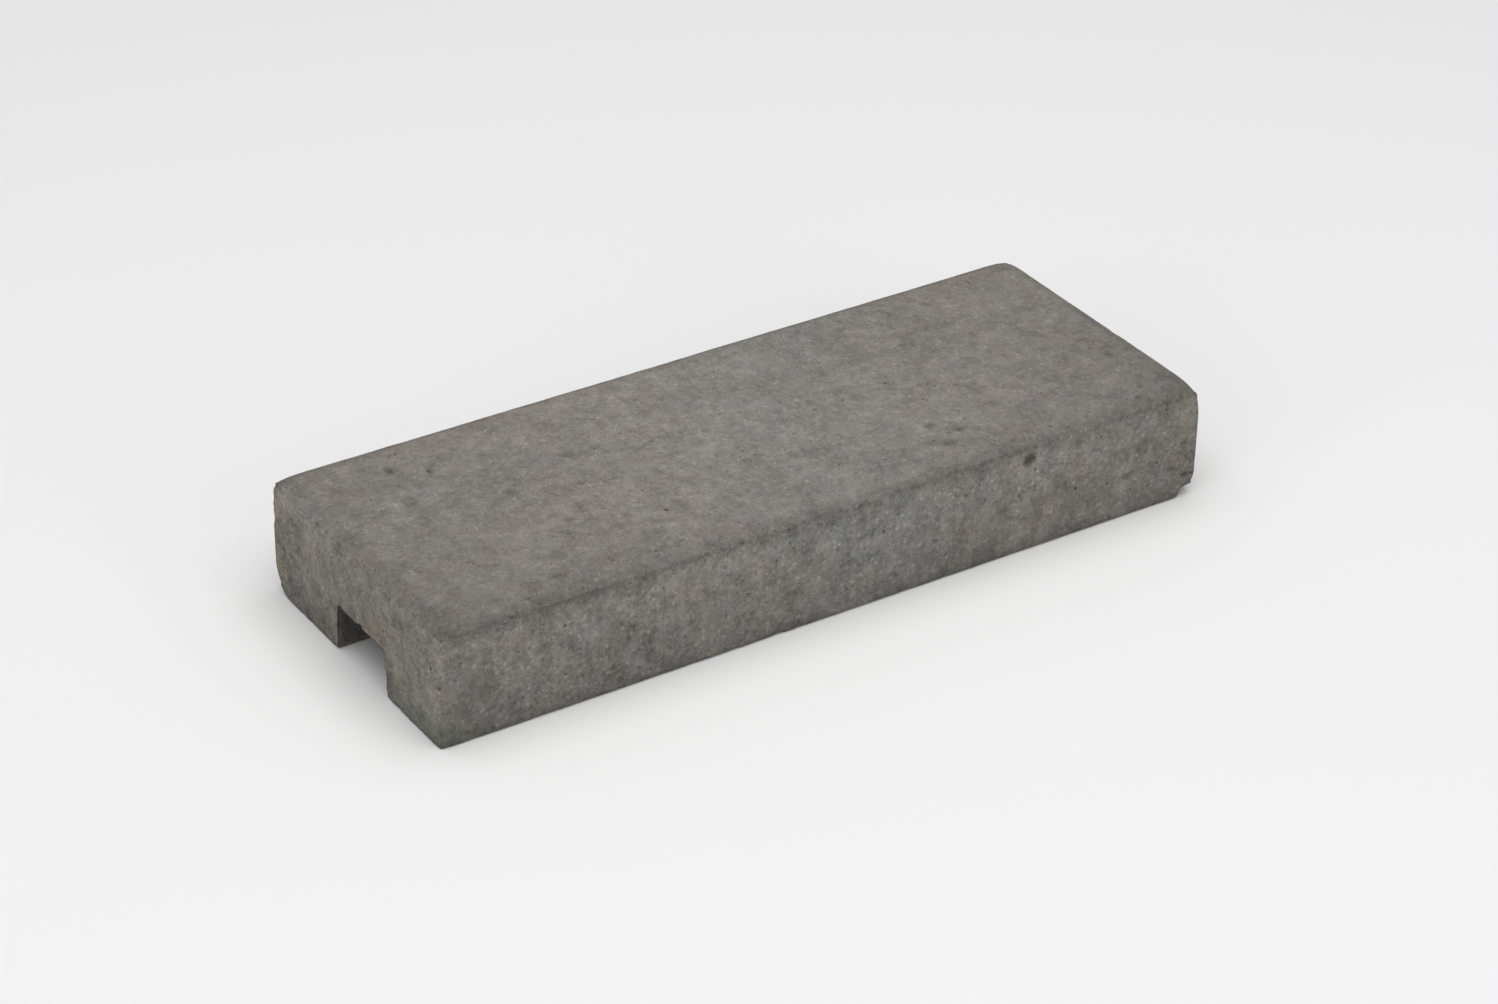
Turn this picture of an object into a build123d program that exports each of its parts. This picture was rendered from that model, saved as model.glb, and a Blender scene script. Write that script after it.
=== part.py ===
from build123d import *
import math
import os

# Concrete coping block for a narrow garden wall, cast as one piece, lying on
# the two bearing strips of its underside.
#
# Frame: millimetres, +Z up, origin at the centre of the underside.
# +X runs along the block's length, +Y from its front side to its back side.

# ---- driving dimensions -------------------------------------------------
LENGTH = 390.0          # along X: the 400 mm masonry module less a 10 mm joint
WIDTH = 147.0           # along Y
HEIGHT = 57.0           # along Z

# groove for the mortar key and the reinforcing bar, full length, underside
FRONT_STRIP = 46.0      # bearing strip in front of the groove
GROOVE_MOUTH = 43.0     # groove width at the underside
GROOVE_ROOF = 41.0      # groove width at its roof: the walls are drafted
GROOVE_DEPTH = 23.0     # from the underside to the roof
ROOF_RADIUS = 2.5       # the two corners of the groove's roof
LIP_RADIUS = 1.5        # the two lips of the groove at the underside

# weathered top edges, all four, pressed into the top by the press head
BEVEL_RUN = 9.0         # across the top
BEVEL_DROP = 3.5        # down the side
BEVEL_TOP_RADIUS = 18.0  # where the bevel runs out into the top
BEVEL_SIDE_RADIUS = 1.2  # where it turns down into the side or the end

# other edges
FRONT_FOOT_RADIUS = 2.0  # lower front edge
BACK_FOOT_RADIUS = 15.0  # lower back edge, eased much more than the front
END_FOOT_RADIUS = 1.0    # lower edges of the two ends
CORNER_RADIUS = 3.0      # the four upright edges

# mould line: a shallow crease along both long sides, under the bevel
CREASE_BELOW_TOP = 5.4   # to the middle of the crease
CREASE_RADIUS = 1.6      # round-bottomed
CREASE_DEPTH = 1.1       # into the side

front = -WIDTH / 2
back = WIDTH / 2
left = -LENGTH / 2
right = LENGTH / 2
shoulder = HEIGHT - BEVEL_DROP


def rounded(points, radii):
    """A closed outline with a radius at each of its corners."""
    face = make_face(Polyline(*points, close=True))
    for (u, v), radius in zip(points, radii):
        if radius:
            corner = [
                p for p in face.vertices() if math.hypot(p.X - u, p.Y - v) < 0.01
            ]
            face = fillet(corner, radius)
    return face


# ---- section across the block, drawn with u along Y and v along Z -------
mouth_a = front + FRONT_STRIP
mouth_b = mouth_a + GROOVE_MOUTH
lean = (GROOVE_MOUTH - GROOVE_ROOF) / 2
section = rounded(
    [
        (front, 0.0),
        (mouth_a, 0.0),
        (mouth_a + lean, GROOVE_DEPTH),
        (mouth_b - lean, GROOVE_DEPTH),
        (mouth_b, 0.0),
        (back, 0.0),
        (back, shoulder),
        (back - BEVEL_RUN, HEIGHT),
        (front + BEVEL_RUN, HEIGHT),
        (front, shoulder),
    ],
    [
        FRONT_FOOT_RADIUS, LIP_RADIUS, ROOF_RADIUS, ROOF_RADIUS, LIP_RADIUS,
        BACK_FOOT_RADIUS, BEVEL_SIDE_RADIUS, BEVEL_TOP_RADIUS,
        BEVEL_TOP_RADIUS, BEVEL_SIDE_RADIUS,
    ],
)
across = Plane(origin=(left, 0, 0), x_dir=(0, 1, 0), z_dir=(1, 0, 0))
run_along_x = extrude(across * section, amount=LENGTH)

# ---- side view, drawn with u along X and v along Z ----------------------
side_view = rounded(
    [
        (left, 0.0),
        (right, 0.0),
        (right, shoulder),
        (right - BEVEL_RUN, HEIGHT),
        (left + BEVEL_RUN, HEIGHT),
        (left, shoulder),
    ],
    [
        END_FOOT_RADIUS, END_FOOT_RADIUS, BEVEL_SIDE_RADIUS,
        BEVEL_TOP_RADIUS, BEVEL_TOP_RADIUS, BEVEL_SIDE_RADIUS,
    ],
)
along = Plane(origin=(0, back, 0), x_dir=(1, 0, 0), z_dir=(0, -1, 0))
run_along_y = extrude(along * side_view, amount=WIDTH)

# ---- plan, with the upright edges eased ---------------------------------
plan = RectangleRounded(LENGTH, WIDTH, CORNER_RADIUS)
run_along_z = extrude(plan, amount=HEIGHT)

block = run_along_x & run_along_y & run_along_z

# ---- mould line along the long sides -----------------------------------
crease_z = HEIGHT - CREASE_BELOW_TOP
offset = CREASE_RADIUS - CREASE_DEPTH
for side in (-1, 1):
    cutter = Cylinder(
        radius=CREASE_RADIUS, height=LENGTH + 20.0, rotation=(0, 90, 0)
    )
    block -= Pos(0, side * (WIDTH / 2 + offset), crease_z) * cutter

coping_block = block if isinstance(block, Solid) else block.solids()[0]
coping_block.label = "coping_block"

# ---- write the piece ----------------------------------------------------
os.makedirs("parts", exist_ok=True)
export_step(coping_block, "parts/coping_block.step")
box = coping_block.bounding_box()
print("coping_block", round(coping_block.volume / 1000.0, 1), "cm3",
      len(block.solids()), "solid,",
      [round(v, 2) for v in (*box.min, *box.max)])
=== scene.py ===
import math

import bpy
import numpy as np
from mathutils import Matrix, Vector


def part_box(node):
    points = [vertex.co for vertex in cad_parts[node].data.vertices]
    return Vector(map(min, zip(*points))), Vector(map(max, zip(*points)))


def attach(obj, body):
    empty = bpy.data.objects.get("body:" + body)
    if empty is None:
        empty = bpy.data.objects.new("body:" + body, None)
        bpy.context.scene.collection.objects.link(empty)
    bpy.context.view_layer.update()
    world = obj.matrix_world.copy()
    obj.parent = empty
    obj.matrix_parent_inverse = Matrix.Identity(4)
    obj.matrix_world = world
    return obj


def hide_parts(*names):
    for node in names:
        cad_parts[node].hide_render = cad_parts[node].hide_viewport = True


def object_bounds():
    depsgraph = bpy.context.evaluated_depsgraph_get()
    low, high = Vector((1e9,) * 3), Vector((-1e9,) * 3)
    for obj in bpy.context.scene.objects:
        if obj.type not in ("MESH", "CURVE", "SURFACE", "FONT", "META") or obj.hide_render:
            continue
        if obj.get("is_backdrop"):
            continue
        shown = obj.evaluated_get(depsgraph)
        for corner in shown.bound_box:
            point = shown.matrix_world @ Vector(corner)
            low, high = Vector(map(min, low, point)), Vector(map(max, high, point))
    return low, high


# A charcoal-grey concrete coping block, dry-cast in one piece, on a pale floor.
# Lengths in the shape's code are millimetres and are turned to metres when the
# mesh is written. +X runs along the block, +Y from its front side to its back.

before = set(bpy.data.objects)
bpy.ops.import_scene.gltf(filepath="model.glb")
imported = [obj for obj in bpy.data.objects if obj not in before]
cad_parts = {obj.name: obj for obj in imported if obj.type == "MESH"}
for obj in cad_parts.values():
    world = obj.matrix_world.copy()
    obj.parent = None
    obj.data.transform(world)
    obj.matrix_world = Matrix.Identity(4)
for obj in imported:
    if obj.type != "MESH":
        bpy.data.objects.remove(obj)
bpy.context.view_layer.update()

# =========================================================================
# 1. Sizes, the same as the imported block's
# =========================================================================
lo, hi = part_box("coping_block")
LENGTH = round((hi.x - lo.x) * 1000, 3)
WIDTH = round((hi.y - lo.y) * 1000, 3)
HEIGHT = round((hi.z - lo.z) * 1000, 3)
HX, HY = LENGTH / 2, WIDTH / 2

GROOVE_A = -HY + 46.0        # groove walls at the underside
GROOVE_B = GROOVE_A + 43.0
GROOVE_TOP = 23.0
GROOVE_LEAN = 1.0
LIP_R, ROOF_R = 1.5, 2.5
BEVEL_RUN, BEVEL_DROP = 9.0, 3.5
TOP_R_SIDE, TOP_R_END = 2.0, 4.5
FRONT_FOOT_R, BACK_FOOT_R, END_FOOT_R = 2.0, 15.0, 1.0
UPRIGHT_R = 3.0
CREASE_Z = HEIGHT - 5.4


# =========================================================================
# 2. Noise
# =========================================================================
GRADS = np.array(
    [
        (1, 1, 0), (-1, 1, 0), (1, -1, 0), (-1, -1, 0), (1, 0, 1), (-1, 0, 1),
        (1, 0, -1), (-1, 0, -1), (0, 1, 1), (0, -1, 1), (0, 1, -1), (0, -1, -1),
    ],
    float,
)


def scramble(i, j, k, seed):
    h = (i * 374761393 + j * 668265263 + k * 2147483647 + seed * 974711) & 0xFFFFFFFF
    h = ((h ^ (h >> 13)) * 1274126177) & 0xFFFFFFFF
    h = ((h ^ (h >> 15)) * 1103515245) & 0xFFFFFFFF
    return h ^ (h >> 16)


def noise(p, size, seed):
    """Smooth noise, about -1 to 1, at points p, with features of about that size in mm (one number or three)."""
    q = p / np.asarray(size, float)
    cell = np.floor(q).astype(np.int64)
    f = q - cell
    u = f * f * f * (f * (f * 6 - 15) + 10)
    total = np.zeros(len(p))
    for a in (0, 1):
        for b in (0, 1):
            for c in (0, 1):
                g = GRADS[scramble(cell[:, 0] + a, cell[:, 1] + b, cell[:, 2] + c, seed) % 12]
                w = (
                    (u[:, 0] if a else 1 - u[:, 0])
                    * (u[:, 1] if b else 1 - u[:, 1])
                    * (u[:, 2] if c else 1 - u[:, 2])
                )
                total += w * (g * (f - np.array((a, b, c), float))).sum(1)
    return total


def layered(p, size, octaves, seed, gain=0.5):
    total, amp, norm = np.zeros(len(p)), 1.0, 0.0
    size = np.asarray(size, float)
    for o in range(octaves):
        total += amp * noise(p, size / 2 ** o, seed + 17 * o)
        norm += amp
        amp *= gain
    return total / norm


def ramp(x, a, b):
    t = np.clip((x - a) / (b - a), 0, 1)
    return t * t * (3 - 2 * t)


# =========================================================================
# 3. The block's skin: a lattice with close lines at every edge
# =========================================================================
def lines(a, b, from_a, from_b, step):
    """Lattice lines from a to b: the listed distances from each end, and even steps between them."""
    head = [a + d for d in from_a]
    tail = [b - d for d in from_b][::-1]
    n = max(1, round((tail[0] - head[-1]) / step))
    middle = [head[-1] + (tail[0] - head[-1]) * i / n for i in range(1, n)]
    return head + middle + tail


EDGE = [0.0, 0.35, 0.8, 1.4, 2.15, 3.0, 4.05, 5.35, 6.9]
LIP = [0.0, 0.5, 1.1, 1.9, 3.0]
xs = np.array(lines(-HX, HX, EDGE, EDGE, 1.75))
ys = np.array(
    lines(-HY, GROOVE_A, EDGE, LIP, 1.75)
    + lines(GROOVE_A, GROOVE_B, LIP, LIP, 2.1)[1:]
    + lines(GROOVE_B, HY, LIP, EDGE, 1.75)[1:]
)
zs = np.array(
    lines(0.0, GROOVE_TOP, [0.0, 0.35, 0.8, 1.4, 2.15, 3.1, 4.4], [0.0, 0.8, 1.8, 3.0], 1.8)
    + lines(
        GROOVE_TOP, HEIGHT, [0.0, 0.8, 1.9],
        [0.0, 0.4, 0.9, 1.5, 2.1, 2.7, 3.3, 3.9, 4.5, 5.2, 6.0, 7.0, 8.3], 1.8,
    )[1:]
)
nx, ny, nz = len(xs), len(ys), len(zs)
ja = int(np.argmin(abs(ys - GROOVE_A)))
jb = int(np.argmin(abs(ys - GROOVE_B)))
kg = int(np.argmin(abs(zs - GROOVE_TOP)))

solid = np.zeros((nx + 1, ny + 1, nz + 1), bool)
solid[1:nx, 1:ny, 1:nz] = True
solid[1:nx, ja + 1:jb + 1, 1:kg + 1] = False


def number(i, j, k):
    return (i * ny + j) * nz + k


quads = []
# faces square to X, Y and Z: found wherever a filled cell meets an empty one
a, b = solid[:-1, 1:-1, 1:-1], solid[1:, 1:-1, 1:-1]
for mask, turn in ((a & ~b, 1), (b & ~a, -1)):
    i, j, k = np.nonzero(mask)
    q = np.stack([number(i, j, k), number(i, j + 1, k), number(i, j + 1, k + 1), number(i, j, k + 1)], 1)
    quads.append(q[:, ::turn])
a, b = solid[1:-1, :-1, 1:-1], solid[1:-1, 1:, 1:-1]
for mask, turn in ((a & ~b, 1), (b & ~a, -1)):
    i, j, k = np.nonzero(mask)
    q = np.stack([number(i, j, k), number(i, j, k + 1), number(i + 1, j, k + 1), number(i + 1, j, k)], 1)
    quads.append(q[:, ::turn])
a, b = solid[1:-1, 1:-1, :-1], solid[1:-1, 1:-1, 1:]
for mask, turn in ((a & ~b, 1), (b & ~a, -1)):
    i, j, k = np.nonzero(mask)
    q = np.stack([number(i, j, k), number(i + 1, j, k), number(i + 1, j + 1, k), number(i, j + 1, k)], 1)
    quads.append(q[:, ::turn])
quads = np.concatenate(quads)
used, index = np.unique(quads, return_inverse=True)
quads = index.reshape(-1, 4)
iz = used % nz
iy = (used // nz) % ny
ix = used // (nz * ny)
flat = np.stack([xs[ix], ys[iy], zs[iz]], 1)       # on the sharp-edged block
P = flat.copy()

# which face a point is on, and how far it is from the nearest arris
from_ends = HX - abs(flat[:, 0])
from_front = flat[:, 1] + HY
from_back = HY - flat[:, 1]
from_top = HEIGHT - flat[:, 2]
from_floor = flat[:, 2].copy()
on_top = from_top < 1e-6
on_end = from_ends < 1e-6
on_front = from_front < 1e-6
on_back = from_back < 1e-6
on_side = on_end | on_front | on_back
in_groove = (iy >= ja) & (iy <= jb) & (iz <= kg)
on_bed = (from_floor < 1e-6) & ~((iy > ja) & (iy < jb))
gaps = np.sort(np.stack([from_ends, from_front, from_back, from_top, from_floor], 1), axis=1)
arris = gaps[:, 1]                                   # distance to the nearest outer arris


def ease(u, v, su, sv, cu, cv, r):
    """Turns the square corner between two faces into an arc of radius r about (cu, cv)."""
    p, q = su * (P[:, u] - cu), sv * (P[:, v] - cv)
    m = (p > 1e-9) & (q > 1e-9) & (p < r + 1e-6) & (q < r + 1e-6)
    k = np.maximum(p[m], q[m]) / np.hypot(p[m], q[m])
    P[m, u] = cu + su * p[m] * k
    P[m, v] = cv + sv * q[m] * k


for sx in (-1, 1):
    for sy in (-1, 1):
        ease(0, 1, sx, sy, sx * (HX - UPRIGHT_R), sy * (HY - UPRIGHT_R), UPRIGHT_R)
for sx in (-1, 1):
    ease(0, 2, sx, 1, sx * (HX - TOP_R_END), HEIGHT - TOP_R_END, TOP_R_END)
    ease(0, 2, sx, -1, sx * (HX - END_FOOT_R), END_FOOT_R, END_FOOT_R)
for sy in (-1, 1):
    ease(1, 2, sy, 1, sy * (HY - TOP_R_SIDE), HEIGHT - TOP_R_SIDE, TOP_R_SIDE)
ease(1, 2, -1, -1, -(HY - FRONT_FOOT_R), FRONT_FOOT_R, FRONT_FOOT_R)
ease(1, 2, 1, -1, HY - BACK_FOOT_R, BACK_FOOT_R, BACK_FOOT_R)
ease(1, 2, 1, -1, GROOVE_A - LIP_R, LIP_R, LIP_R)
ease(1, 2, -1, -1, GROOVE_B + LIP_R, LIP_R, LIP_R)
inside = in_groove.copy()
keep = P.copy()
ease(1, 2, -1, 1, GROOVE_A + ROOF_R, GROOVE_TOP - ROOF_R, ROOF_R)
ease(1, 2, 1, 1, GROOVE_B - ROOF_R, GROOVE_TOP - ROOF_R, ROOF_R)
P[~inside] = keep[~inside]

# the groove's walls lean together towards its roof
up = np.clip(P[:, 2] / GROOVE_TOP, 0, 1) * np.exp(-np.clip(P[:, 2] - GROOVE_TOP, 0, None) / 8)
across = np.clip((flat[:, 1] - GROOVE_A) / (GROOVE_B - GROOVE_A), 0, 1)
side = 1 - 2 * across
fade = np.exp(-np.clip(GROOVE_A - flat[:, 1], 0, None) / 8) * np.exp(-np.clip(flat[:, 1] - GROOVE_B, 0, None) / 8)
P[:, 1] += GROOVE_LEAN * up * side * fade


# the weathered bevel round the top
def bevel(d):
    """How far the top lies below its crown, at distance d in from the side."""
    line = BEVEL_DROP * (1 - d / BEVEL_RUN)
    return 0.5 * (line + np.sqrt(line * line + 0.35))


dx = HX - abs(P[:, 0])
dy = HY - abs(P[:, 1])
near = -2.2 * np.log(np.exp(-dx / 2.2) + np.exp(-dy / 2.2))   # soft mitres at the corners
near = np.clip(near, 0, None)
share = np.clip((P[:, 2] - (HEIGHT - 12)) / 12, 0, 1)
P[:, 2] -= bevel(near) * share

# =========================================================================
# 4. Cast and worn surface
# =========================================================================
rng = np.random.default_rng(20417)


def normals():
    n = np.zeros_like(P)
    c = P[quads]
    f = np.cross(c[:, 2] - c[:, 0], c[:, 3] - c[:, 1])
    for s in range(4):
        np.add.at(n, quads[:, s], f)
    return n / np.maximum(np.linalg.norm(n, axis=1), 1e-12)[:, None]


N = normals()
upright = on_side & ~on_top
depth = np.zeros(len(P))          # how far the skin is worn in, in mm
hollow = np.zeros(len(P))         # 0 to 1: chips, for the dirt in them
worn = np.zeros(len(P))           # 0 to 1: rubbed arrises

# the faces are not quite flat
depth += 0.20 + 0.17 * layered(P, 70, 2, 3)
depth += 0.10 * layered(P, 17, 2, 11) * np.where(upright, 1.5, 1.0)
depth += 0.09 * layered(P, 6.5, 2, 23) * np.where(upright, 1.6, 1.0)
# drag marks up the sides, left as the block was pushed out of its mould, fainter on the ends
drag = noise(P, (3.6, 3.6, 34.0), 31) + 0.6 * noise(P, (8.0, 8.0, 60.0), 32)
depth += np.where(upright & ~in_groove, np.where(on_end, 0.035, 0.085) * drag, 0)

# arrises rubbed and crumbled
crumble = np.clip(0.5 + 0.9 * layered(P, 15, 2, 41), 0, None)
bite = np.clip(noise(P, 5.5, 43) - 0.10, 0, None)
edge = np.exp(-(arris / 1.6) ** 2)
at_top = np.exp(-(from_top / 4.0) ** 2)
depth += edge * (0.22 * crumble + 0.75 * bite) * (1 - 0.45 * at_top)
worn += edge * np.clip(0.35 + 0.5 * crumble, 0, 1)

# corners knocked a little rounder than the arrises
for sx in (-1, 1):
    for sy in (-1, 1):
        for z, r, d in ((HEIGHT - BEVEL_DROP, 6.5, 0.9), (0.0, 5.0, 0.7)):
            if (sx, sy) == (1, -1) and z > 9:
                r, d = 9.0, 1.6
            g = np.linalg.norm(P - (sx * HX, sy * HY, z), axis=1) / r
            depth += d * np.exp(-g * g)

# chips along the arrises
chips = []
for _ in range(36):
    sx, sy = rng.choice((-1, 1)), rng.choice((-1, 1))
    kind = rng.integers(0, 5)
    r = rng.uniform(1.8, 4.2)
    if kind == 0:      # lower long edges
        c = (rng.uniform(-HX, HX), sy * HY, 0.0)
    elif kind == 1:    # lower end edges
        c = (sx * HX, rng.uniform(-HY, HY), 0.0)
    elif kind == 2:    # upright edges
        c = (sx * (HX - 0.8), sy * (HY - 0.8), rng.uniform(3, 50))
    elif kind == 3:    # shoulders of the ends
        c = (sx * HX, rng.uniform(-HY, HY), HEIGHT - BEVEL_DROP)
    else:              # lips of the groove at the ends
        c = (sx * HX, rng.choice((GROOVE_A, GROOVE_B)), rng.uniform(0, 20))
    chips.append((c, r, rng.uniform(0.3, 0.9)))
for c, r, d in chips:
    g = np.linalg.norm(P - np.array(c), axis=1) * (1 + 0.35 * noise(P, 3.0, 51))
    depth += d * ramp(-g, -r, -0.25 * r)
    hollow = np.maximum(hollow, 0.25 * ramp(-g, -r, -0.4 * r))


hole = np.zeros(len(P))           # 0 at a pit's rim to 1 at its middle
pit_shade = np.zeros(len(P))           # how dark the painted shade in that pit is
warp = np.stack([noise(P, 2.6, s) for s in (52, 53, 54)], 1) + 0.6 * np.stack([noise(P, 6.0, s) for s in (55, 56, 57)], 1)


def pit(c, r, d, dark, long=(1.0, 1.0, 1.0)):
    """A shallow pit of uneven outline, longer in the directions where long is over 1."""
    far = np.linalg.norm((P + 1.1 * warp - np.array(c)) / np.array(long), axis=1)
    m = far < r
    t = 1 - far[m] / r
    depth[m] += d * (t * (2 - t)) ** 2
    pit_shade[m] = np.where(t > hole[m], dark, pit_shade[m])
    hole[m] = np.maximum(hole[m], t)


# pits where the mix did not close
for n_pits, where, r_lo, r_hi, d_lo, d_hi in (
    (80, "top", 1.5, 2.8, 0.20, 0.60),
    (100, "front", 1.4, 2.8, 0.25, 0.80),
    (100, "back", 1.4, 2.8, 0.25, 0.80),
    (40, "left", 1.4, 2.6, 0.25, 0.80),
    (40, "right", 1.4, 2.6, 0.25, 0.80),
    (90, "bed", 1.6, 3.2, 0.20, 0.60),
):
    for _ in range(n_pits):
        u, v = rng.uniform(-1, 1), rng.uniform(0.03, 0.93)
        c = {
            "top": (u * (HX - 6), (2 * v - 1) * (HY - 6), HEIGHT),
            "bed": (u * (HX - 4), (2 * v - 1) * (HY - 4), 0.0),
            "front": (u * (HX - 4), -HY, 2 + v * 46),
            "back": (u * (HX - 4), HY, 16 + v * 32),
            "left": (-HX, u * (HY - 4), 3 + v * 46),
            "right": (HX, u * (HY - 4), 3 + v * 46),
        }[where]
        r, d = rng.uniform(r_lo, r_hi), rng.uniform(d_lo, d_hi)
        pit(c, r, d, 0.05 + 0.20 * (d / d_hi) ** 2, rng.uniform(0.7, 1.3, 3))

# the ones that stand out
for c, r, d, dark, long in (
    ((99.6, -HY, 46.2), 5.2, 2.0, 0.64, (1.0, 1, 1.0)),
    ((-150.0, 50.0, HEIGHT), 3.9, 0.8, 0.50, (0.9, 1.35, 1)),
    ((-134.9, 40.8, HEIGHT), 3.5, 0.7, 0.46, (0.85, 1.4, 1)),
    ((-154.5, 23.2, HEIGHT), 5.2, 0.8, 0.26, (1.0, 1.35, 1)),
    ((68.9, -39.1, HEIGHT), 3.9, 0.7, 0.36, (1.1, 1.2, 1)),
    ((62.1, -50.6, HEIGHT), 5.6, 0.8, 0.24, (1.2, 1.2, 1)),
    ((78.5, -48.5, HEIGHT), 3.6, 0.7, 0.42, (1.3, 0.9, 1)),
    ((67.8, -56.1, HEIGHT), 4.4, 0.7, 0.34, (1.3, 0.9, 1)),
    ((-114.5, 6.8, HEIGHT), 3.9, 0.5, 0.36, (0.9, 1.4, 1)),
    ((-78.1, 22.2, HEIGHT), 3.9, 0.5, 0.32, (1.5, 1.0, 1)),
    ((-104.6, -24.4, HEIGHT), 3.2, 0.5, 0.30, (1.7, 0.8, 1)),
    ((-131.5, -60.2, HEIGHT), 3.8, 0.6, 0.36, (1.6, 1.0, 1)),
    ((-53.0, -12.0, HEIGHT), 3.3, 0.4, 0.24, (0.9, 1.3, 1)),
    ((4.8, -28.8, HEIGHT), 3.3, 0.4, 0.24, (0.9, 1.3, 1)),
    ((-44.9, 38.5, HEIGHT), 3.4, 0.5, 0.20, (1.2, 1.0, 1)),
    ((55.2, 23.0, HEIGHT), 3.4, 0.5, 0.20, (1.0, 1.2, 1)),
    ((175.8, -29.4, HEIGHT), 3.6, 0.6, 0.24, (0.9, 1.3, 1)),
    ((174.7, -52.8, HEIGHT), 3.2, 0.6, 0.34, (0.9, 1.3, 1)),
    ((163.6, -67.1, HEIGHT), 3.0, 0.6, 0.34, (1.2, 1.0, 1)),
    ((188.3, -HY, 10.6), 3.1, 1.0, 0.55, (1.2, 1, 1.0)),
    ((179.2, -HY, 16.7), 3.0, 0.7, 0.44, (1.4, 1, 0.9)),
    ((155.0, -HY, 21.1), 3.0, 0.6, 0.38, (1.5, 1, 0.9)),
):
    pit(c, r, d, dark, long)

# the crease under the bevel, along both long sides
along = P * (1, 0, 0)
line_z = CREASE_Z + 0.70 * noise(along + (0, 7, 3), 27, 61) + 0.30 * noise(along, 8, 62)
width = 1.95 + 0.35 * noise(along, 19, 63)
strength = 0.80 + 0.65 * layered(along, 21, 2, 64)
# on the front it is deepest a hand's breadth from the left end, and fainter in a few other places
pull = np.zeros(len(P))
for cx, rx, d in ((-130, 19, 0.92), (-172, 12, -0.55), (-52, 22, -0.36), (4, 13, -0.55), (68, 12, 0.22), (122, 12, -0.34), (158, 14, 0.18)):
    pull += d * np.exp(-((P[:, 0] - cx) / rx) ** 2)
pull = np.where(P[:, 1] < 0, pull, 0)
strength = np.clip(strength + pull, 0.25, 1.7)
rise = np.where(on_top, CREASE_Z + 1.9 + np.minimum(from_front, from_back), P[:, 2]) - line_z
reach = ramp(HX - abs(P[:, 0]), 0.0, 9.0)
long_side = (on_front | on_back) & ~on_top
crease = np.exp(-(rise / width) ** 2) * strength
depth += np.where(long_side, 0.76 * crease * reach, 0)
# painted shade: this mask of the crease line is darkened by the shader as the crease's shadow, and sunk by the bump
crease_and_shade = np.where(long_side, np.exp(-((rise + 0.1) / 1.25) ** 2) * np.clip(0.25 + 0.75 * strength, 0, 1.1) * reach, 0)

# =========================================================================
# 5. Tone: stains and handling, and painted shade and highlight, as a factor on the plain grey
# =========================================================================
tone = np.ones(len(P))
X, Y, Z = P.T
# the top is lighter at its middle and darker towards its ends, and along its front rim it is painted shade where the
# top rolls over towards the front
middle = np.cos(np.pi * np.clip((X + 20) / 215, -1, 1))
tone *= 1 + np.where(on_top, 0.066, 0.026) * middle
tone *= 1 - np.where(on_top, 0.105 * np.exp(-(from_front / 19.0) ** 2) + 0.03 * np.exp(-((from_front - 12) / 6.0) ** 2), 0)
# painted shade: the foot of every upright face is darker, as the floor shades it, with a painted contact shadow
# along its bottom edge
foot = np.where(on_end, 0.05, 0.19) * (1 - ramp(Z, 1, 46)) + np.where(on_end, 0.21, 0.08) * np.exp(-(Z / 8.0) ** 2)
foot = foot + np.where(on_end, 0, 0.13) * np.exp(-(Z / 4.0) ** 2)
tone *= 1 - np.where(upright, foot, 0)
# so is the last of each long side at the ends; the rim of the top at the ends and the top of each end face are
# painted shade over the arris, strongest at the left end, where the lights would make that arris bright
tone *= 1 - np.where(on_front | on_back, np.where(X < 0, 0.10, 0.035) * np.exp(-(from_ends / 19.0) ** 2), 0)
rim = (1 - ramp(from_ends, 5.5, 11.5)) * (0.73 + 0.27 * ramp(from_ends, 2.0, 4.0))
tone *= 1 - np.where(on_top, np.where(X < 0, 0.22, 0.13) * rim, 0)
tone *= 1 - np.where(on_top, np.where(X < 0, 0.11, 0.08) * np.exp(-(from_ends / 1.1) ** 2), 0)
tone *= 1 - np.where(on_end & ~on_top, np.where(X < 0, 0.26, 0.10) * np.exp(-(from_top / 3.3) ** 2), 0)
# painted shade on the upright arrises, which catch the light, and on the front near the left end a painted highlight
# up the corner
upright_gap = np.maximum(from_ends, np.minimum(from_front, from_back))
tone *= 1 - np.where(upright, 0.085 * np.exp(-(upright_gap / 2.8) ** 2), 0)
tone *= 1 - np.where(on_end, 0.05 * np.exp(-((from_front - 3.0) / 3.0) ** 2), 0)
tone *= 1 + np.where(on_front & (X < 0), 0.16 * np.exp(-((from_ends - 1.5) / 3.2) ** 2) - 0.05 * np.exp(-((from_ends - 8.0) / 3.5) ** 2), 0)
# a little duller half way up the long sides, and just above the foot a little less
tone *= 1 - np.where(on_front | on_back, 0.035 * np.exp(-((Z - 28) / 7.5) ** 2) - 0.03 * np.exp(-((Z - 11) / 3.5) ** 2), 0)
# painted shade lies in the crease and just above it
core = np.exp(-((rise - 0.2) / 1.7) ** 2) * np.clip(0.35 + 0.65 * strength, 0, 1.2)
halo = np.exp(-(abs(rise - 1.0) / 5.5) ** 2.6) * (1.0 + 0.5 * layered(along, 30, 2, 66) + 0.8 * pull)
crease_shade_belt = (0.01 * core + 0.208 * halo + 0.045 * np.exp(-((rise - 5.0) / 2.2) ** 2)) * ramp(HX - abs(P[:, 0]), -5.0, 9.0)
tone *= 1 - np.where((on_front | on_back | on_top) & ~in_groove, crease_shade_belt, 0)
# painted shade: the inside of the groove is painted darker for the shade in it, darkest deep inside and patchy
deep = ramp(Z, 0.3, 5.0)
tone *= np.where(in_groove, 1 - deep * (0.61 - 0.15 * ramp(from_ends, 25, 80) - 0.13 * layered(P, 24, 3, 86)) - (1 - deep) * 0.30, 1.0)
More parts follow.
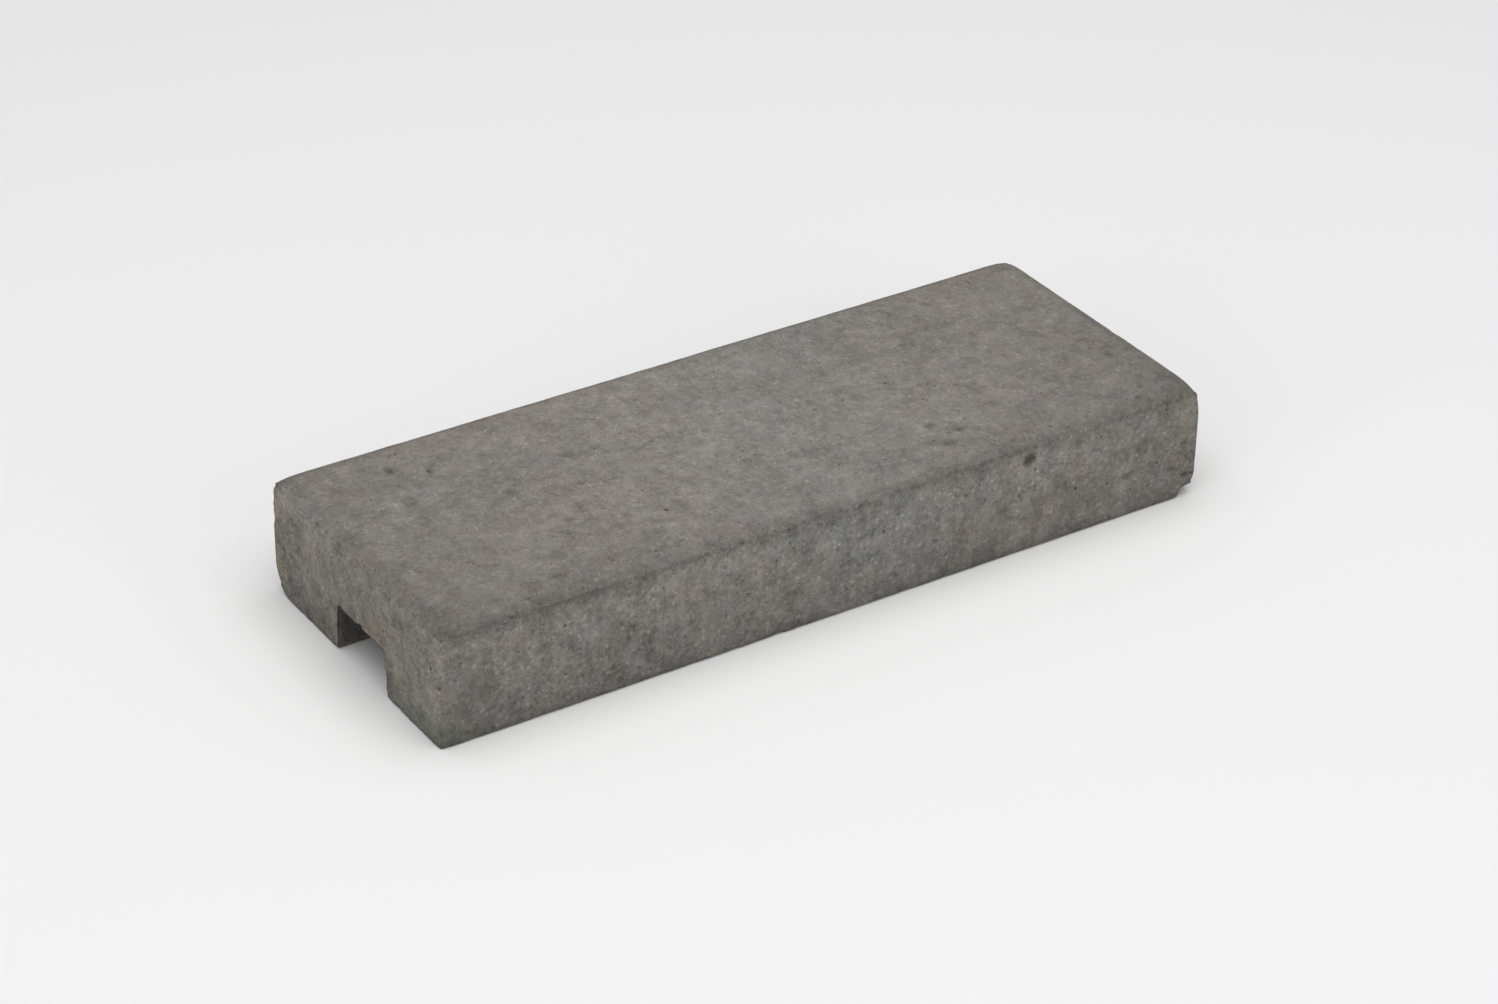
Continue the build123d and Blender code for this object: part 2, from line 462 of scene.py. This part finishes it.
# soft stains
for c, r, d in (
    ((-180, -HY, 22), (14, 8, 17), 0.13),
    ((-176, -HY, 10), (12, 8, 8), 0.07),
    ((-HX, 45, 52), (8, 24, 8), -0.12),
    ((-HX, 0, 51), (8, 90, 13), -0.085),
    ((-HX, -52, 15), (8, 20, 5), -0.05),
    ((0, 66, HEIGHT), (200, 8, 9), -0.03),
    ((-HX, -45, 29), (8, 15, 9), 0.11),
    ((-HX, -63, 33), (8, 7, 6), -0.09),
    ((-HX, 8, 50), (8, 10, 5), -0.09),
    ((-80, -HY, 25), (22, 8, 18), 0.04),
    ((-128, 0, HEIGHT), (55, 70, 9), 0.022),
    ((168, 0, HEIGHT), (24, 60, 9), 0.015),
    ((-HX, 44, 31), (8, 22, 9), 0.065),
    ((-HX, 40, 18), (8, 22, 7), -0.04),
    ((-HX, -10, 26), (8, 20, 6), 0.04),
    ((-HX, -55, 4), (8, 22, 10), 0.14),
    ((-HX, -9, 40), (8, 13, 12), 0.085),
    ((-HX, 22, 36), (8, 13, 12), 0.01),
    ((-HX, 26, 6), (8, 16, 10), 0.08),
    ((-124, -HY, 25), (40, 8, 22), -0.05),
    ((158, -HY, 9), (36, 8, 9), -0.10),
    ((-50, 0, HEIGHT), (40, 60, 9), -0.022),
    ((100, 8, HEIGHT), (28, 56, 9), -0.028),
    ((-160, -16, HEIGHT), (18, 16, 9), 0.06),
    ((172, -64, 54), (14, 14, 9), -0.05),
    ((181, -66, 54), (16, 9, 9), 0.06),
    ((171, -68, HEIGHT), (9, 6, 6), -0.06),
    ((76, -HY, 22), (27, 8, 18), 0.085),
    ((152, -HY, 24), (26, 8, 18), 0.045),
    ((-60, -HY, 14), (20, 8, 12), 0.015),
    ((-165, 40, HEIGHT), (22, 18, 9), 0.03),
    ((186, -30, HEIGHT), (12, 26, 9), 0.05),
    ((-HX, 48, 12), (8, 16, 12), 0.05),
    ((-154, 24, HEIGHT), (11, 14, 9), -0.06),
    ((76.0, -40.8, HEIGHT), (2.8, 2.8, 6), -0.17),
    ((63.5, -40.5, HEIGHT), (2.6, 2.6, 6), -0.14),
    ((77.5, -53.5, HEIGHT), (3.2, 2.6, 6), -0.14),
    ((54.4, -57.9, HEIGHT), (5.5, 3.0, 6), -0.16),
    ((-84, -HY, 40), (13, 8, 10), 0.05),
    ((-6, -HY, 43), (30, 8, 9), -0.05),
    ((84, -HY, 41), (17, 8, 9), 0.05),
    ((183, -HY, 40), (13, 8, 10), 0.06),
    ((11, -HY, 12), (24, 8, 9), 0.045),
    ((120, 60, HEIGHT), (50, 11, 6), -0.035),
    ((26, 43, HEIGHT), (24, 11, 6), 0.045),
    ((-48, 40, HEIGHT), (20, 13, 6), -0.03),
    ((-HX, 50, 32), (8, 6, 18), -0.055),
    ((-HX, -58, 23), (8, 7, 8), 0.065),
    ((-HX, -12, 46), (8, 14, 6), 0.05),
):
    g = (P - np.array(c)) / np.array(r)
    tone *= 1 - d * np.exp(-(g * g).sum(1) * (1 + 0.3 * noise(P, 9, 91)))

# a green-grey cast over the middle of the block, and a brown one in a few places
lean = X - 14 - 0.6 * np.maximum(Y, -15) - 12 * ramp(HEIGHT - Z, 0, 14) + 22 * noise(P, 38, 95)
cool = np.exp(-(lean / 50) ** 4) * (0.78 + 0.5 * noise(P, 30, 96))
for c, r, d in (
    ((-143, 24, HEIGHT), (26, 22, 9), 0.6),
    ((68, -49, HEIGHT), (15, 16, 9), 0.8),
    ((143, -56, HEIGHT), (20, 14, 9), 0.6),
    ((-HX, -56, 4), (8, 24, 12), 1.0),
    ((178, -70, 52), (18, 12, 10), 0.8),
):
    g = (P - np.array(c)) / np.array(r)
    cool = np.maximum(cool, d * np.exp(-(g * g).sum(1)))
cool = np.clip(cool + (on_front | on_back) * (0.22 + 0.25 * (1 - ramp(Z, 2, 20))), 0, 1)
brown = np.where(on_end, 0.08, 0.0)
for c, r, d in (
    ((-HX, -18, 27), (6, 10, 7), 1.0),
    ((-HX, HY, 29), (6, 12, 26), 1.0),
    ((120, HY, 55), (40, 5, 6), 0.48),
    ((-150, HY, 55), (50, 5, 6), 0.31),
    ((-100, -20, HEIGHT), (40, 26, 9), 0.15),
    ((-80, 70, HEIGHT), (110, 13, 9), 0.24),
    ((155, 68, HEIGHT), (50, 14, 9), 0.22),
    ((120, -HY, 20), (46, 9, 18), 0.15),
    ((184, -HY, 30), (9, 9, 22), 0.24),
):
    g = (P - np.array(c)) / np.array(r)
    brown = np.maximum(brown, d * np.exp(-(g * g).sum(1)))

# algae at the foot, where the block stays damp
moss = np.where(on_end, 0.18, 0.0)
for c, r, d in (
    ((-HX, -64, 2), (20, 24, 13), 1.0),
    ((-HX, 52, 8), (12, 18, 12), 0.35),
    ((-150, -HY, 0), (40, 9, 7), 0.4),
    ((120, HY, 12), (60, 12, 12), 0.4),
    ((HX, 30, 2), (12, 40, 11), 0.5),
):
    g = (P - np.array(c)) / np.array(r)
    moss = np.maximum(moss, d * np.exp(-(g * g).sum(1)))
moss *= 1 + 0.5 * noise(P, 11, 97)

# now the skin is moved in by what has worn away
flatten = np.where(on_bed, 0.45, 1.0)
depth = np.clip(depth * flatten, 0.02, None)
P -= N * depth[:, None]

# the lower front corner at the right end is knocked off
cut = ramp(P[:, 0], HX - 10.8, HX - 8.0) * (0.76 + 0.24 * ramp(P[:, 0], HX - 8.0, HX))
cut *= 1 - ramp(P[:, 1], -HY + 5, -HY + 17)
cut *= 4.6 + 0.9 * noise(P, 4.0, 71)
slope = cut / 4.6 * (1 - ramp(P[:, 2], 0, 4))
P[:, 0] -= 0.5 * slope
P[:, 1] += 0.5 * slope
P[:, 2] += cut * (1 - ramp(P[:, 2], 0, 15))
worn = np.maximum(worn, np.where(P[:, 2] < 8, np.clip(cut / 4, 0, 1), 0))

P[:, 0] = np.clip(P[:, 0], -HX, HX)
P[:, 1] = np.clip(P[:, 1], -HY, HY)
P[:, 2] = np.clip(P[:, 2], 0, HEIGHT)

mesh = bpy.data.meshes.new("coping_block_skin")
mesh.vertices.add(len(P))
mesh.vertices.foreach_set("co", (P / 1000).astype(np.float32).ravel())
mesh.loops.add(quads.size)
mesh.loops.foreach_set("vertex_index", quads.astype(np.int32).ravel())
mesh.polygons.add(len(quads))
mesh.polygons.foreach_set("loop_start", np.arange(0, quads.size, 4, dtype=np.int32))
mesh.polygons.foreach_set("use_smooth", np.ones(len(quads), bool))
mesh.update(calc_edges=True)
mesh.validate()
for name, values in (
    ("hollow", np.clip(hollow, 0, 1)), ("worn", np.clip(worn, 0, 1)), ("crease_and_shade", np.clip(crease_and_shade, 0, 1)),
    ("hole", hole), ("pit_shade", pit_shade), ("tone", tone), ("brown", np.clip(brown, 0, 1)), ("cool", cool),
    ("moss", np.clip(moss, 0, 1)),
):
    layer = mesh.attributes.new(name, "FLOAT", "POINT")
    layer.data.foreach_set("value", values.astype(np.float32))

skin = bpy.data.objects.new("coping_block_skin", mesh)
bpy.context.scene.collection.objects.link(skin)
print("skin:", len(P), "points,", len(quads) * 2, "triangles")


# =========================================================================
# 6. Materials
# =========================================================================
class Net:
    """Short names for building a node tree."""

    def __init__(self, material):
        material.use_nodes = True
        self.tree = material.node_tree
        self.tree.nodes.clear()

    def add(self, kind, **settings):
        node = self.tree.nodes.new(kind)
        for key, value in settings.items():
            setattr(node, key, value)
        return node

    def join(self, out, into):
        self.tree.links.new(out, into)

    def put(self, socket, value):
        if isinstance(value, bpy.types.NodeSocket):
            self.join(value, socket)
        else:
            socket.default_value = value

    def math(self, operation, a, b=0.0, clamp=False):
        node = self.add("ShaderNodeMath", operation=operation, use_clamp=clamp)
        self.put(node.inputs[0], a)
        self.put(node.inputs[1], b)
        return node.outputs[0]

    def range(self, value, a, b, c=0.0, d=1.0, smooth=False):
        node = self.add("ShaderNodeMapRange", interpolation_type="SMOOTHSTEP" if smooth else "LINEAR")
        self.put(node.inputs["Value"], value)
        for key, v in (("From Min", a), ("From Max", b), ("To Min", c), ("To Max", d)):
            self.put(node.inputs[key], v)
        return node.outputs["Result"]

    def noise(self, where, scale, detail=2.0, rough=0.5, distort=0.0):
        node = self.add("ShaderNodeTexNoise")
        self.join(where, node.inputs["Vector"])
        node.inputs["Scale"].default_value = scale
        node.inputs["Detail"].default_value = detail
        node.inputs["Roughness"].default_value = rough
        node.inputs["Distortion"].default_value = distort
        return node.outputs["Fac"]

    def shaken(self, where, scale, by):
        """The same coordinates, pushed about by up to half of by, so that cells lose their even outlines."""
        node = self.add("ShaderNodeTexNoise")
        self.join(where, node.inputs["Vector"])
        node.inputs["Scale"].default_value = scale
        node.inputs["Detail"].default_value = 1.0
        push = self.add("ShaderNodeVectorMath", operation="MULTIPLY_ADD")
        self.join(node.outputs["Color"], push.inputs[0])
        push.inputs[1].default_value = (by, by, by)
        self.join(where, push.inputs[2])
        return push.outputs[0]

    def cells(self, where, scale, feature="F1", randomness=1.0):
        node = self.add("ShaderNodeTexVoronoi", feature=feature)
        self.join(where, node.inputs["Vector"])
        node.inputs["Scale"].default_value = scale
        node.inputs["Randomness"].default_value = randomness
        return node

    def mix(self, factor, a, b, blend="MIX"):
        node = self.add("ShaderNodeMix", data_type="RGBA", blend_type=blend)
        self.put(node.inputs["Factor"], factor)
        self.put(node.inputs["A"], a)
        self.put(node.inputs["B"], b)
        return node.outputs["Result"]

    def scaled(self, where, x, y, z, shift=(0, 0, 0)):
        node = self.add("ShaderNodeMapping")
        self.join(where, node.inputs["Vector"])
        node.inputs["Scale"].default_value = (x, y, z)
        node.inputs["Location"].default_value = shift
        return node.outputs["Vector"]


def concrete():
    material = bpy.data.materials.new("charcoal_concrete")
    t = Net(material)
    where = t.add("ShaderNodeTexCoord").outputs["Object"]

    def field(name):
        return t.add("ShaderNodeAttribute", attribute_name=name).outputs["Fac"]

    face = t.add("ShaderNodeSeparateXYZ")
    t.join(t.add("ShaderNodeNewGeometry").outputs["Normal"], face.inputs[0])
    upward = t.range(face.outputs["Z"], 0.45, 0.95, smooth=True)
    sides = t.math("SUBTRACT", 1.0, upward)
    ends = t.range(t.math("ABSOLUTE", face.outputs["X"]), 0.45, 0.95, smooth=True)
    marks = t.math("MULTIPLY", sides, t.range(ends, 0, 1, 1.0, 0.45))

    # broad tone: clouds, blotches, mottle and the drag marks up the sides
    clouds = t.range(t.noise(where, 12, 3, 0.55), 0.3, 0.7, -1, 1)
    blotch = t.range(t.noise(where, 58, 3, 0.55), 0.3, 0.7, -1, 1)
    mottle = t.range(t.noise(t.scaled(where, 1, 1, 1, (0.7, 0.3, 0.1)), 140, 3, 0.6), 0.3, 0.7, -1, 1)
    grain = t.range(t.noise(where, 380, 3, 0.66), 0.3, 0.7, -1, 1)
    fine = t.range(t.noise(where, 1500, 2, 0.6), 0.3, 0.7, -1, 1)
    drag = t.range(t.noise(t.scaled(where, 1, 1, 0.10), 290, 2, 0.55), 0.32, 0.68, -1, 1)

    # sand: rounded grains of two sizes, each of its own tone, standing out of the paste
    shaken = t.shaken(where, 820, 0.0013)
    grains = []
    for scale in (400, 880):
        cell = t.cells(shaken, scale)
        pick = t.add("ShaderNodeSeparateColor")
        t.join(cell.outputs["Color"], pick.inputs[0])
        dome = t.range(cell.outputs["Distance"], 0.12, 0.58, 1.0, 0.0, smooth=True)
        shows = t.range(pick.outputs[1], 0.25, 0.60)
        grains.append((t.range(pick.outputs[0], 0, 1, -1, 1), t.math("MULTIPLY", dome, shows)))
    (coarse_tone, coarse), (sand_tone, sand) = grains

    # voids between the grains: small ones everywhere, larger ones here and there, and more on the sides; the bump
    # sinks them, and their darkening in the colour is painted shade
    open_mix = t.range(t.noise(t.scaled(where, 1, 1, 1, (0.2, 0.5, 0.9)), 40, 2, 0.5), 0.35, 0.65, -0.012, 0.012)
    open_mix = t.math("ADD", open_mix, t.range(sides, 0, 1, -0.012, 0.012))
    v = t.math("SUBTRACT", t.noise(t.scaled(where, 1, 1, 1, (0.4, 0.1, 0.6)), 600, 3, 0.55), open_mix)
    void = t.range(v, 0.375, 0.27, 0.0, 1.0, smooth=True)
    v = t.math("SUBTRACT", t.noise(t.scaled(where, 1, 1, 1, (0.9, 0.8, 0.3)), 290, 4, 0.60), open_mix)
    gap = t.range(v, 0.325, 0.235, 0.0, 1.0, smooth=True)

    # the pits and the crease of the mesh, with the ragged rims that it is too coarse to hold
    ragged = t.math("MULTIPLY", grain, 0.16)
    pits = t.range(t.math("ADD", field("hole"), ragged), 0.08, 0.80, smooth=True)
    pits = t.math("MULTIPLY", pits, t.range(field("hole"), 0.0, 0.12))
    # painted shade in the pits, darkest at their middles
    pit_shade = t.math("MULTIPLY", pits, field("pit_shade"))
    # painted shade along the crease line, which the bump also sinks a little
    crease_and_shade = t.range(t.math("ADD", field("crease_and_shade"), ragged), 0.30, 0.85, smooth=True)
    dirt = t.math("MULTIPLY", field("hollow"), t.range(grain, -1, 1, 0.55, 0.85))
    rub = t.math("MULTIPLY", field("worn"), t.range(blotch, -1, 1, 0.0, 0.05))

    # the grain domes, less a paste level, also lighten the grains and darken the paste round them: painted shading
    # of the sand's relief
    texture = 0.0
    for amount, layer in (
        (0.070, clouds), (0.120, blotch), (0.150, mottle), (0.170, grain), (0.120, fine),
        (0.230, t.math("MULTIPLY", coarse_tone, coarse)), (0.250, t.math("MULTIPLY", sand_tone, sand)),
        (0.140, t.math("SUBTRACT", coarse, 0.32)), (0.150, t.math("SUBTRACT", sand, 0.32)),
    ):
        texture = t.math("ADD", texture, t.math("MULTIPLY", layer, amount))
    texture = t.math("MULTIPLY", texture, t.range(sides, 0, 1, 1.0, 1.42))
    texture = t.math("MULTIPLY", texture, t.range(ends, 0, 1, 1.0, 1.15))
    tone = t.math("ADD", 1.137, texture)
    tone = t.math("ADD", tone, t.math("MULTIPLY", t.math("MULTIPLY", drag, marks), 0.07))
    tone = t.math("ADD", tone, rub)
    # the chips are darkened with dirt; the voids, gaps, pits and crease are darkened as painted shade
    for layer, amount in ((dirt, 0.50), (void, 0.42), (gap, 0.58), (pit_shade, 1.0), (crease_and_shade, 0.06)):
        tone = t.math("MULTIPLY", tone, t.math("SUBTRACT", 1.0, t.math("MULTIPLY", layer, amount)))
    tone = t.math("MULTIPLY", tone, field("tone"))

    # hue: a little warmer here, a little greener there, and light grains
    warm = t.range(t.noise(t.scaled(where, 1, 1, 1, (0.31, 0.12, 0.05)), 75, 4, 0.62), 0.3, 0.7, -1, 1)
    green = t.range(t.noise(t.scaled(where, 1, 1, 1, (0.05, 0.42, 0.21)), 60, 4, 0.66), 0.3, 0.7, -1, 1)
    tint = t.add("ShaderNodeCombineColor")
    t.join(t.math("ADD", 1.0, t.math("MULTIPLY", warm, 0.032)), tint.inputs[0])
    t.join(t.math("ADD", 1.0, t.math("MULTIPLY", green, 0.030)), tint.inputs[1])
    t.join(t.math("SUBTRACT", 1.0, t.math("MULTIPLY", warm, 0.036)), tint.inputs[2])
    speck = t.math("MULTIPLY", t.range(sand_tone, 0.70, 1.0, 0, 0.45), sand)
    base = t.mix(speck, (0.2150, 0.1978, 0.1785, 1), (0.300, 0.283, 0.262, 1))
    base = t.mix(field("cool"), base, t.mix(1.0, base, (0.960, 1.017, 1.028, 1), "MULTIPLY"))
    base = t.mix(t.math("MULTIPLY", field("brown"), 0.80), base, (0.238, 0.190, 0.152, 1))
    base = t.mix(field("moss"), base, t.mix(1.0, base, (0.955, 1.035, 0.955, 1), "MULTIPLY"))
    base = t.mix(1.0, base, tint.outputs[0], "MULTIPLY")
    grey = t.add("ShaderNodeCombineColor")
    for n in range(3):
        t.join(tone, grey.inputs[n])
    colour = t.mix(1.0, base, grey.outputs[0], "MULTIPLY")

    # height in millimetres, for the grain that the mesh is too coarse to hold
    height = 0.0
    for amount, layer in (
        (0.17, coarse), (0.20, sand), (0.12, grain), (0.08, fine), (0.04, mottle),
        (0.05, t.math("MULTIPLY", drag, marks)), (-0.28, void), (-0.70, gap), (-0.60, pits), (-0.20, crease_and_shade),
    ):
        height = t.math("ADD", height, t.math("MULTIPLY", layer, amount))
    bump = t.add("ShaderNodeBump")
    bump.inputs["Strength"].default_value = 1.0
    bump.inputs["Distance"].default_value = 0.001
    t.join(height, bump.inputs["Height"])

    shader = t.add("ShaderNodeBsdfPrincipled")
    t.join(colour, shader.inputs["Base Color"])
    t.join(t.range(grain, -1, 1, 0.84, 0.97), shader.inputs["Roughness"])
    shader.inputs["Specular IOR Level"].default_value = 0.25
    t.join(bump.outputs["Normal"], shader.inputs["Normal"])
    out = t.add("ShaderNodeOutputMaterial")
    t.join(shader.outputs[0], out.inputs["Surface"])
    return material


skin.data.materials.append(concrete())
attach(skin, "root")
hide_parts("coping_block")


# =========================================================================
# 7. Floor, light and camera
# =========================================================================
def floor_material():
    material = bpy.data.materials.new("pale_floor")
    t = Net(material)
    shader = t.add("ShaderNodeBsdfPrincipled")
    shader.inputs["Base Color"].default_value = (0.88, 0.88, 0.88, 1)
    shader.inputs["Roughness"].default_value = 0.9
    shader.inputs["Specular IOR Level"].default_value = 0.1
    out = t.add("ShaderNodeOutputMaterial")
    t.join(shader.outputs[0], out.inputs["Surface"])
    return material


floor_mesh = bpy.data.meshes.new("floor")
s = 6.0
floor_mesh.from_pydata([(-s, -s, 0), (s, -s, 0), (s, s, 0), (-s, s, 0)], [], [(0, 1, 2, 3)])
floor = bpy.data.objects.new("floor", floor_mesh)
floor.data.materials.append(floor_material())
bpy.context.scene.collection.objects.link(floor)
floor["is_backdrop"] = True


def area(name, place, target, size, power, tint=(1, 1, 1)):
    light = bpy.data.lights.new(name, "AREA")
    light.shape = "RECTANGLE"
    light.size, light.size_y = size
    light.energy = power
    light.color = tint
    lamp = bpy.data.objects.new(name, light)
    lamp.location = place
    lamp.rotation_euler = (Vector(target) - Vector(place)).to_track_quat("-Z", "Y").to_euler()
    bpy.context.scene.collection.objects.link(lamp)
    return lamp


area("overhead", (-0.1, -0.3, 2.2), (0, 0, 0), (2.6, 2.6), 37)
area("front", (0.4, -2.6, 1.0), (0, 0, 0.03), (2.2, 1.4), 10.5)
area("left", (-2.5, -0.9, 1.0), (0, 0, 0.03), (1.6, 1.4), 10)

world = bpy.data.worlds.new("studio")
world.use_nodes = True
background = world.node_tree.nodes["Background"]
background.inputs["Color"].default_value = (1, 1, 1, 1)
background.inputs["Strength"].default_value = 0.40
bpy.context.scene.world = world

camera = bpy.data.cameras.new("camera")
camera.sensor_width = 36.0
camera.lens = 95.654
camera.clip_start = 0.05
camera.clip_end = 50
eye = bpy.data.objects.new("camera", camera)
eye.matrix_world = Matrix(
    (
        (0.838746, 0.271777, -0.471851, -0.82506),
        (-0.544333, 0.441402, -0.713348, -1.24975),
        (0.014404, 0.855162, 0.518161, 0.92629),
        (0, 0, 0, 1),
    )
)
bpy.context.scene.collection.objects.link(eye)
bpy.context.scene.camera = eye

view = bpy.context.scene.view_settings
view.view_transform = "Standard"
view.look = "None"
view.exposure = 0.0
view.gamma = 1.0

# =========================================================================
# 8. Sizes: the bounds of everything shown
# =========================================================================
lo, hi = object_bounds()
